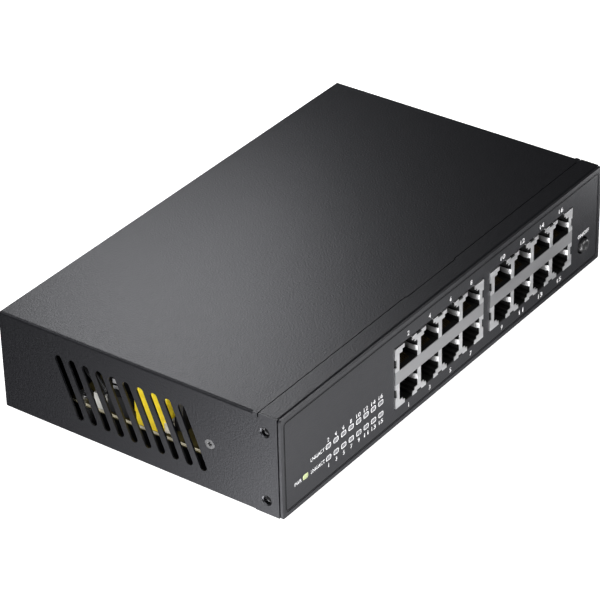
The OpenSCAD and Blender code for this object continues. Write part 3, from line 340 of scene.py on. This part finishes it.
port_plastic = new_finish("port_plastic", (0.006, 0.006, 0.006), 0.5, specular=0.3)
mottle(port_plastic, (0.004, 0.004, 0.004), (0.008, 0.008, 0.008), 900, 0.42, 0.6)
grain(port_plastic, 2500, 0.00001)
dress(port_plastic, "left_port_housing", "right_port_housing")

nickel_plate = new_finish("nickel_plate", (0.55, 0.55, 0.56), 0.48, metallic=1)
mottle(nickel_plate, (0.56, 0.56, 0.57), (0.68, 0.68, 0.69), 400, 0.45, 0.52,
       stretch=(0.12, 1, 1))
grain(nickel_plate, 3000, 0.000012, stretch=(0.3, 1, 1))
shield_low, shield_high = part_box("left_port_shield")
bank_middle = (0, 0, (shield_low[2] + shield_high[2]) / 2)
painted_shade_band_half = 0.0027
painted_shade_band_fade = 0.0002


def upward(finish, vector):
    """The Z part of a vector socket."""
    tree = finish.node_tree
    split = tree.nodes.new("ShaderNodeSeparateXYZ")
    tree.links.new(vector, split.inputs["Vector"])
    return split.outputs["Z"]


def worked_out(finish, operation, *terms):
    """The answer of a sum on sockets or plain numbers."""
    tree = finish.node_tree
    sum_node = tree.nodes.new("ShaderNodeMath")
    sum_node.operation = operation
    for entry, term in zip(sum_node.inputs, terms):
        if isinstance(term, (int, float)):
            entry.default_value = term
        else:
            tree.links.new(term, entry)
    return sum_node.outputs["Value"]


def repaint(finish, colour, keep):
    """Lays a colour over the drifting one, which stays only where keep is 1."""
    tree = finish.node_tree
    coats = tree.nodes.new("ShaderNodeMix")
    coats.data_type = "RGBA"
    coats.inputs["A"].default_value = (*colour, 1)
    tree.links.new(keep, coats.inputs["Factor"])
    tree.links.new(tree.nodes["tint"].outputs["Color"], coats.inputs["B"])
    tree.links.new(coats.outputs["Result"], tree.nodes["Principled BSDF"].inputs["Base Color"])


# The strip of shield between the two rows is painted darker than the rest: painted shade.
above_middle = upward(nickel_plate, pattern_space(nickel_plate, centre=bank_middle))
tree = nickel_plate.node_tree
outside_painted_shade_band = tree.nodes.new("ShaderNodeMapRange")
outside_painted_shade_band.inputs["From Min"].default_value = painted_shade_band_half
outside_painted_shade_band.inputs["From Max"].default_value = painted_shade_band_half + painted_shade_band_fade
tree.links.new(worked_out(nickel_plate, "ABSOLUTE", above_middle), outside_painted_shade_band.inputs["Value"])
# Inside the band the plating takes a darker colour, a painted shade.
repaint(nickel_plate, (0.40, 0.40, 0.41), outside_painted_shade_band.outputs["Result"])
dress(nickel_plate, "left_port_shield", "right_port_shield")
soften("left_port_shield", 0.00006)
soften("right_port_shield", 0.00006)

gold_plate = new_finish("gold_plate", (0.10, 0.075, 0.03), 0.4, metallic=1)
mottle(gold_plate, (0.07, 0.05, 0.02), (0.14, 0.10, 0.04), 1500, 0.34, 0.5)
dress(gold_plate, "left_port_contacts", "right_port_contacts", "inlet_pins")

# ---------------------------------------------------------------- lights
# Small blocks of clear plastic carry the light from the chips on the board to the
# overlay. Only the power light is on, in a pale yellow green.

clear_plastic = new_finish("light_pipe_plastic", (0.14, 0.14, 0.15), 0.3, specular=0.5)
mottle(clear_plastic, (0.10, 0.10, 0.11), (0.19, 0.19, 0.20), 1400, 0.2, 0.4)
dress(clear_plastic, "link_light_pipes", "light_chips")

lit_plastic = new_finish("lit_pipe_plastic", (0.30, 0.35, 0.17), 0.35, specular=0.5)
mottle(lit_plastic, (0.26, 0.31, 0.14), (0.35, 0.40, 0.21), 1400, 0.3, 0.4)
glow = lit_plastic.node_tree.nodes["Principled BSDF"]
glow.inputs["Emission Color"].default_value = (0.66, 0.75, 0.38, 1)
glow.inputs["Emission Strength"].default_value = 0.16
dress(lit_plastic, "power_light_pipe")
dress(port_plastic, "light_holders", "button_switch_case")

# ---------------------------------------------------------------- printing
# Numbers and short words are printed on the overlay in white ink, with a white frame
# around every light window. A black line around the film's edge is painted shadow of the
# gap in the recess. The ink stands a few hundredths of a millimetre proud.

white_ink = new_finish("white_ink", (0.66, 0.66, 0.67), 0.5, specular=0.4)
mottle(white_ink, (0.60, 0.60, 0.61), (0.72, 0.72, 0.73), 1800, 0.42, 0.58)
lime_ink = new_finish("lime_ink", (0.45, 0.50, 0.26), 0.5, specular=0.4)
mottle(lime_ink, (0.40, 0.45, 0.22), (0.50, 0.55, 0.31), 1800, 0.42, 0.58)
overlay_low, overlay_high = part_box("front_overlay")
ink_t = 0.00003
ink_face = overlay_low[1]
case_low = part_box("top_cover")[0]


def from_corner(x_mm, z_mm):
    """A place on the overlay, measured from the case's lower left corner."""
    return (case_low[0] + x_mm / 1000, case_low[2] + z_mm / 1000)


def printed(words, x_mm, z_mm, tall_mm, wide_mm=None, bold=0.0):
    """Prints words centred on a place, with capitals of a given height."""
    bpy.ops.object.select_all(action="DESELECT")
    bpy.ops.object.text_add(location=(0, 0, 0))
    ink = bpy.context.object
    ink.data.body = words
    ink.data.resolution_u = 3
    ink.data.offset = bold
    bpy.ops.object.convert(target="MESH")
    spots = [v.co.copy() for v in ink.data.vertices]
    low = [min(p[i] for p in spots) for i in (0, 1)]
    high = [max(p[i] for p in spots) for i in (0, 1)]
    tall = tall_mm / 1000 / (high[1] - low[1])
    wide = tall if wide_mm is None else wide_mm / 1000 / (high[0] - low[0])
    for v in ink.data.vertices:
        v.co.x = (v.co.x - (low[0] + high[0]) / 2) * wide
        v.co.y = (v.co.y - (low[1] + high[1]) / 2) * tall
    bpy.ops.object.mode_set(mode="EDIT")
    bpy.ops.mesh.select_all(action="SELECT")
    bpy.ops.mesh.extrude_region_move(TRANSFORM_OT_translate={"value": (0, 0, ink_t)})
    bpy.ops.mesh.select_all(action="SELECT")
    bpy.ops.mesh.normals_make_consistent(inside=False)
    bpy.ops.object.mode_set(mode="OBJECT")
    x, z = from_corner(x_mm, z_mm)
    upright = Matrix.Translation((x, ink_face, z)) @ Matrix.Rotation(math.pi / 2, 4, "X")
    ink.data.transform(upright)
    return ink


def gather(name, prints, ink):
    """Joins prints into one piece and gives it its ink."""
    bpy.ops.object.select_all(action="DESELECT")
    for one in prints:
        one.select_set(True)
    bpy.context.view_layer.objects.active = prints[0]
    bpy.ops.object.join()
    joined = bpy.context.object
    joined.name = name
    joined.data.materials.clear()
    joined.data.materials.append(ink)
    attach(joined, "case")
    return joined


def numbered(name, columns_mm, upper_mm, lower_mm, tall_mm, wide_mm):
    """Numbers two rows from the left, even above and odd below."""
    numbers = []
    for i, x in enumerate(columns_mm):
        for number, z in ((2 * i + 2, upper_mm), (2 * i + 1, lower_mm)):
            width = wide_mm if number > 9 else None
            numbers.append(printed(str(number), x, z, tall_mm, width, 0.01))
    gather(name, numbers, white_ink)


port_pitch = 13.97
bank_columns = (79.15, 142.95)
port_columns = [first + port_pitch * i for first in bank_columns for i in range(4)]
numbered("port_numbers", port_columns, 36.25, 4.7, 2.0, 3.1)

light_pitch = 4.7
light_columns = [28.2 + light_pitch * i for i in range(8)]
upper_lights = 15.6
lower_lights = 10.5
power_x = 14.1
power_lift = 0.2
numbered("light_numbers", light_columns, 18.3, 7.4, 1.8, 2.7)

gather("light_words", [
    printed("LNK/ACT", 21.65, upper_lights, 1.6, 8.4, 0.01),
    printed("LNK/ACT", 21.65, lower_lights, 1.6, 8.4, 0.01),
    printed("PWR", 9.65, lower_lights + 0.1, 1.6, 4.1, 0.01),
    printed("ON/OFF", 202.6, 17.0, 1.7, 8.4, 0.02),
], white_ink)


def printed_ring(name, place, size, corner, steps, line):
    """A line with round corners: printed around a window, or painted shadow around the film."""
    bpy.ops.object.select_all(action="DESELECT")
    bpy.ops.mesh.primitive_plane_add(size=1, location=(place[0], ink_face, place[1]),
                                     rotation=(math.pi / 2, 0, 0))
    ring = bpy.context.object
    ring.name = name
    ring.scale = (*size, 1)
    bpy.ops.object.transform_apply(location=True, rotation=True, scale=True)
    bpy.ops.object.mode_set(mode="EDIT")
    bpy.ops.mesh.select_all(action="SELECT")
    bpy.ops.mesh.bevel(affect="VERTICES", offset=corner, segments=steps)
    bpy.ops.mesh.select_all(action="SELECT")
    bpy.ops.mesh.inset(thickness=line)
    bpy.ops.mesh.delete(type="FACE")
    bpy.ops.mesh.select_all(action="SELECT")
    bpy.ops.mesh.extrude_region_move(TRANSFORM_OT_translate={"value": (0, -ink_t, 0)})
    bpy.ops.mesh.select_all(action="SELECT")
    bpy.ops.mesh.normals_make_consistent(inside=False)
    bpy.ops.object.mode_set(mode="OBJECT")
    return ring


frame_size = (0.0031, 0.0021)
frame_corner = 0.0006
frame_line = 0.00030
first_frame = printed_ring("link_frames", from_corner(light_columns[0], lower_lights),
                           frame_size, frame_corner, 4, frame_line)
frames = [first_frame]
for i in range(len(light_columns)):
    for row in (0, 1):
        if i or row:
            step = (i * light_pitch / 1000, 0, row * (upper_lights - lower_lights) / 1000)
            frames.append(own_copy(first_frame, f"link_frame_{i}_{row}", step))
gather("link_frames", frames, white_ink)
power_frame = printed_ring("power_frame", from_corner(power_x, lower_lights + power_lift),
                           frame_size, frame_corner, 4, frame_line)
gather("power_frame", [power_frame], lime_ink)

# A black line just inside the film's edge is painted shadow of the gap around the recess.
shadow_line_play = 0.00025
shadow_line_middle = [(a + b) / 2 for a, b in zip(overlay_low, overlay_high)]
shadow_line_size = [b - a - 2 * shadow_line_play for a, b in zip(overlay_low, overlay_high)]
shadow_line = printed_ring("film_edge_painted_shadow", shadow_line_middle[::2], shadow_line_size[::2], 0.0014, 6, 0.00034)
painted_shadow_ink = new_finish("painted_shadow_ink", (0.003, 0.003, 0.003), 0.7, specular=0.1)
mottle(painted_shadow_ink, (0.002, 0.002, 0.002), (0.004, 0.004, 0.004), 900, 0.6, 0.8)
gather("film_edge_painted_shadow", [shadow_line], painted_shadow_ink)

# ---------------------------------------------------------------- push button
# The power button is a turned cap of black plastic on a square plunger. Its rim is
# rounded and its face is slightly dished for the fingertip.

button_plastic = new_finish("button_plastic", (0.012, 0.012, 0.013), 0.34, specular=1.0)
mottle(button_plastic, (0.009, 0.009, 0.010), (0.015, 0.015, 0.016), 900, 0.31, 0.37)
grain(button_plastic, 2600, 0.000006)
cap_low, cap_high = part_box("button_cap")
cap_r = (cap_high[0] - cap_low[0]) / 2
cap_centre = [(a + b) / 2 for a, b in zip(cap_low, cap_high)]
cap_flat = 0.48 * cap_r
dish_step = 0.16 * cap_r
dish_slope = 0.00012
bpy.ops.object.select_all(action="DESELECT")
bpy.ops.mesh.primitive_cylinder_add(vertices=64, radius=cap_r, depth=cap_high[1] - cap_low[1],
                                    location=cap_centre, rotation=(math.pi / 2, 0, 0))
cap = bpy.context.object
cap.name = "button_cap_turned"
bpy.ops.object.transform_apply(location=True, rotation=True, scale=True)
pick_faces(cap, lambda centre, normal: normal.y < -0.9)
bpy.ops.mesh.inset(thickness=cap_flat)
bpy.ops.mesh.inset(thickness=dish_step)
bpy.ops.transform.translate(value=(0, dish_slope, 0))
bpy.ops.mesh.inset(thickness=dish_step)
bpy.ops.transform.translate(value=(0, dish_slope / 2, 0))
bpy.ops.object.mode_set(mode="OBJECT")
round_edges(cap, 0.0009, segments=8)
cap.data.materials.append(button_plastic)
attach(cap, "push_button")
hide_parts("button_cap")

cream_plastic = new_finish("cream_plastic", (0.68, 0.64, 0.54), 0.45)
mottle(cream_plastic, (0.60, 0.56, 0.46), (0.72, 0.68, 0.58), 600, 0.4, 0.55)
grain(cream_plastic, 2600, 0.00001)
dress(cream_plastic, "button_plunger", "transformer_bobbin")
spring_steel = new_finish("spring_steel", (0.5, 0.5, 0.52), 0.25, metallic=1)
mottle(spring_steel, (0.42, 0.42, 0.44), (0.56, 0.56, 0.58), 2500, 0.2, 0.34)
dress(spring_steel, "button_spring")

# ---------------------------------------------------------------- main board
# A green glass-fibre board carries the ports, the lights, the switching chip under its
# heat sink and the small chips. Copper tracks show faintly through its solder mask.

green_mask = new_finish("green_mask", (0.01, 0.06, 0.025), 0.3)
mottle(green_mask, (0.007, 0.045, 0.018), (0.014, 0.085, 0.036), 700, 0.22, 0.38)
grain(green_mask, 1200, 0.00002, stretch=(1, 0.1, 1))
dress(green_mask, "main_board")
chip_plastic = new_finish("chip_plastic", (0.012, 0.012, 0.013), 0.5, specular=0.25)
mottle(chip_plastic, (0.010, 0.010, 0.011), (0.016, 0.016, 0.017), 1500, 0.42, 0.6)
grain(chip_plastic, 3500, 0.00001)
dress(chip_plastic, "port_transformers", "switch_chip", "port_driver_chips", "memory_chip",
      "power_transistor", "bridge_rectifier")
soft_pad = new_finish("soft_pad", (0.2, 0.28, 0.42), 0.8, specular=0.2)
mottle(soft_pad, (0.17, 0.24, 0.38), (0.24, 0.32, 0.46), 900, 0.7, 0.9)
dress(soft_pad, "chip_pad")
bare_aluminium = new_finish("bare_aluminium", (0.6, 0.6, 0.62), 0.34, metallic=1)
mottle(bare_aluminium, (0.5, 0.5, 0.52), (0.66, 0.66, 0.68), 800, 0.28, 0.44,
       stretch=(1, 0.08, 1))
grain(bare_aluminium, 3000, 0.000008, stretch=(1, 0.05, 1))
dress(bare_aluminium, "chip_heat_sink", "supply_heat_sink")
black_sleeve = new_finish("black_sleeve", (0.012, 0.012, 0.014), 0.3, specular=0.25)
mottle(black_sleeve, (0.009, 0.009, 0.011), (0.018, 0.018, 0.021), 500, 0.2, 0.32)
dress(black_sleeve, "board_capacitors", "output_capacitors")
ferrite = new_finish("ground_ferrite", (0.022, 0.022, 0.024), 0.45)
mottle(ferrite, (0.016, 0.016, 0.018), (0.034, 0.034, 0.036), 1300, 0.35, 0.6)
grain(ferrite, 3000, 0.00002)
dress(ferrite, "board_chokes", "transformer_core")
white_nylon = new_finish("white_nylon", (0.72, 0.71, 0.67), 0.4)
mottle(white_nylon, (0.66, 0.65, 0.61), (0.76, 0.75, 0.71), 700, 0.34, 0.48)
dress(white_nylon, "board_header", "output_header", "mains_header")

# ---------------------------------------------------------------- power supply
# The supply has its own board of brown paper laminate over a black film on the floor, the
# film's black standing in for the shade under the board as painted shade. Its edges are
# pale, but the brown of the faces runs up the lower part of each edge as painted shade.
# A taped transformer sits at its left edge.

laminate = new_finish("paper_laminate", (0.1, 0.075, 0.02), 0.5)
mottle(laminate, (0.085, 0.07, 0.02), (0.12, 0.10, 0.035), 500, 0.4, 0.55)
supply_low, supply_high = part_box("supply_board")
# The lower part of each edge keeps the brown of the faces: painted shade.
painted_shade_height = 0.3 * (supply_high[2] - supply_low[2])
facing = laminate.node_tree.nodes.new("ShaderNodeNewGeometry")
flat_face = worked_out(laminate, "ABSOLUTE", upward(laminate, facing.outputs["Normal"]))
above_floor = upward(laminate, pattern_space(laminate, centre=supply_low))
in_painted_edge_shade = worked_out(laminate, "LESS_THAN", above_floor, painted_shade_height)
repaint(laminate, (0.72, 0.66, 0.48), worked_out(laminate, "MAXIMUM", flat_face, in_painted_edge_shade))
dress(laminate, "supply_board")

# The film's black stands in for the shade under the board: painted shade.
black_film = new_finish("black_film", (0.006, 0.006, 0.007), 0.5)
mottle(black_film, (0.004, 0.004, 0.005), (0.009, 0.009, 0.010), 300, 0.4, 0.6)
dress(black_film, "insulating_sheet")

yellow_tape = new_finish("yellow_tape", (0.9, 0.68, 0.02), 0.35)
mottle(yellow_tape, (0.86, 0.63, 0.015), (0.95, 0.74, 0.03), 350, 0.28, 0.42)
tree = yellow_tape.node_tree
layers = tree.nodes.new("ShaderNodeTexWave")
layers.bands_direction = "Z"
layers.inputs["Scale"].default_value = 90
layers.inputs["Distortion"].default_value = 1.5
tree.links.new(pattern_space(yellow_tape), layers.inputs["Vector"])
overlap = tree.nodes.new("ShaderNodeBump")
overlap.inputs["Distance"].default_value = 0.00006
tree.links.new(layers.outputs["Fac"], overlap.inputs["Height"])
tree.links.new(overlap.outputs["Normal"], tree.nodes["Principled BSDF"].inputs["Normal"])
dress(yellow_tape, "transformer_winding")
soften("transformer_winding", 0.0004, 3)

# The big capacitor's black sleeve has a row of pale dashes down its minus side.
striped_sleeve = new_finish("striped_sleeve", (0.006, 0.006, 0.007), 0.4, specular=0.12)
mottle(striped_sleeve, (0.006, 0.006, 0.007), (0.011, 0.011, 0.013), 500, 0.34, 0.46)
sleeve_low, sleeve_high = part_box("bulk_capacitor")
sleeve_axis = [(a + b) / 2 for a, b in zip(sleeve_low, sleeve_high)]
dash_pitch = 0.0028
dash_gap = 0.35
tree = striped_sleeve.node_tree
around = tree.nodes.new("ShaderNodeTexGradient")
around.gradient_type = "RADIAL"
tree.links.new(pattern_space(striped_sleeve, centre=sleeve_axis), around.inputs["Vector"])
stripe = tree.nodes.new("ShaderNodeValToRGB")
stripe.color_ramp.interpolation = "CONSTANT"
stripe.color_ramp.elements[0].color = (0, 0, 0, 1)
stripe.color_ramp.elements[1].position = 0.015
stripe.color_ramp.elements[1].color = (1, 1, 1, 1)
stripe_end = stripe.color_ramp.elements.new(0.075)
stripe_end.color = (0, 0, 0, 1)
tree.links.new(around.outputs["Fac"], stripe.inputs["Fac"])
dashes_up = upward(striped_sleeve, pattern_space(striped_sleeve, stretch=(1, 1, 1 / dash_pitch)))
along_dash = worked_out(striped_sleeve, "FRACT", dashes_up)
in_dash = worked_out(striped_sleeve, "GREATER_THAN", along_dash, dash_gap)
printed_dash = worked_out(striped_sleeve, "MULTIPLY", stripe.outputs["Color"], in_dash)
bare_sleeve = worked_out(striped_sleeve, "SUBTRACT", 1, printed_dash)
repaint(striped_sleeve, (0.6, 0.6, 0.62), bare_sleeve)
dress(striped_sleeve, "bulk_capacitor")
soften("bulk_capacitor", 0.0006, 3)

enamel = new_finish("wire_enamel", (0.05, 0.025, 0.012), 0.3)
mottle(enamel, (0.035, 0.018, 0.010), (0.07, 0.035, 0.016), 900, 0.24, 0.4)
grain(enamel, 1500, 0.00008, stretch=(0.1, 0.1, 1))
dress(enamel, "output_choke")
yellow_case = new_finish("yellow_case", (0.62, 0.42, 0.04), 0.35)
mottle(yellow_case, (0.55, 0.36, 0.03), (0.68, 0.48, 0.06), 600, 0.3, 0.44)
dress(yellow_case, "suppression_capacitor")
soften("suppression_capacitor", 0.0005, 3)
copper_wire = new_finish("copper_wire", (0.35, 0.12, 0.04), 0.3, metallic=1)
mottle(copper_wire, (0.28, 0.09, 0.03), (0.42, 0.16, 0.06), 900, 0.24, 0.4)
grain(copper_wire, 1500, 0.00015, stretch=(0.1, 1, 1))
dress(copper_wire, "line_choke")
brown_plastic = new_finish("brown_plastic", (0.06, 0.03, 0.015), 0.45)
mottle(brown_plastic, (0.05, 0.025, 0.012), (0.075, 0.04, 0.02), 800, 0.4, 0.55)
dress(brown_plastic, "line_fuse")
soften("line_fuse", 0.0003)

# ---------------------------------------------------------------- mains inlet and leads
# A black moulded socket with three blades is screwed into the rear wall. Plastic
# insulated leads run from it to the supply board and to the earth screw.

socket_plastic = new_finish("socket_plastic", (0.012, 0.012, 0.012), 0.4)
mottle(socket_plastic, (0.009, 0.009, 0.009), (0.017, 0.017, 0.017), 700, 0.34, 0.5)
grain(socket_plastic, 2200, 0.00002)
dress(socket_plastic, "inlet_housing")
soften("inlet_housing", 0.0002)

for lead, colour in (("mains_leads", (0.012, 0.012, 0.013)),
                     ("supply_leads", (0.35, 0.02, 0.015)),
                     ("earth_lead", (0.02, 0.18, 0.04))):
    insulation = new_finish(lead + "_skin", colour, 0.4)
    mottle(insulation, [0.85 * c for c in colour], [1.1 * c for c in colour], 900, 0.34, 0.48)
    dress(insulation, lead)
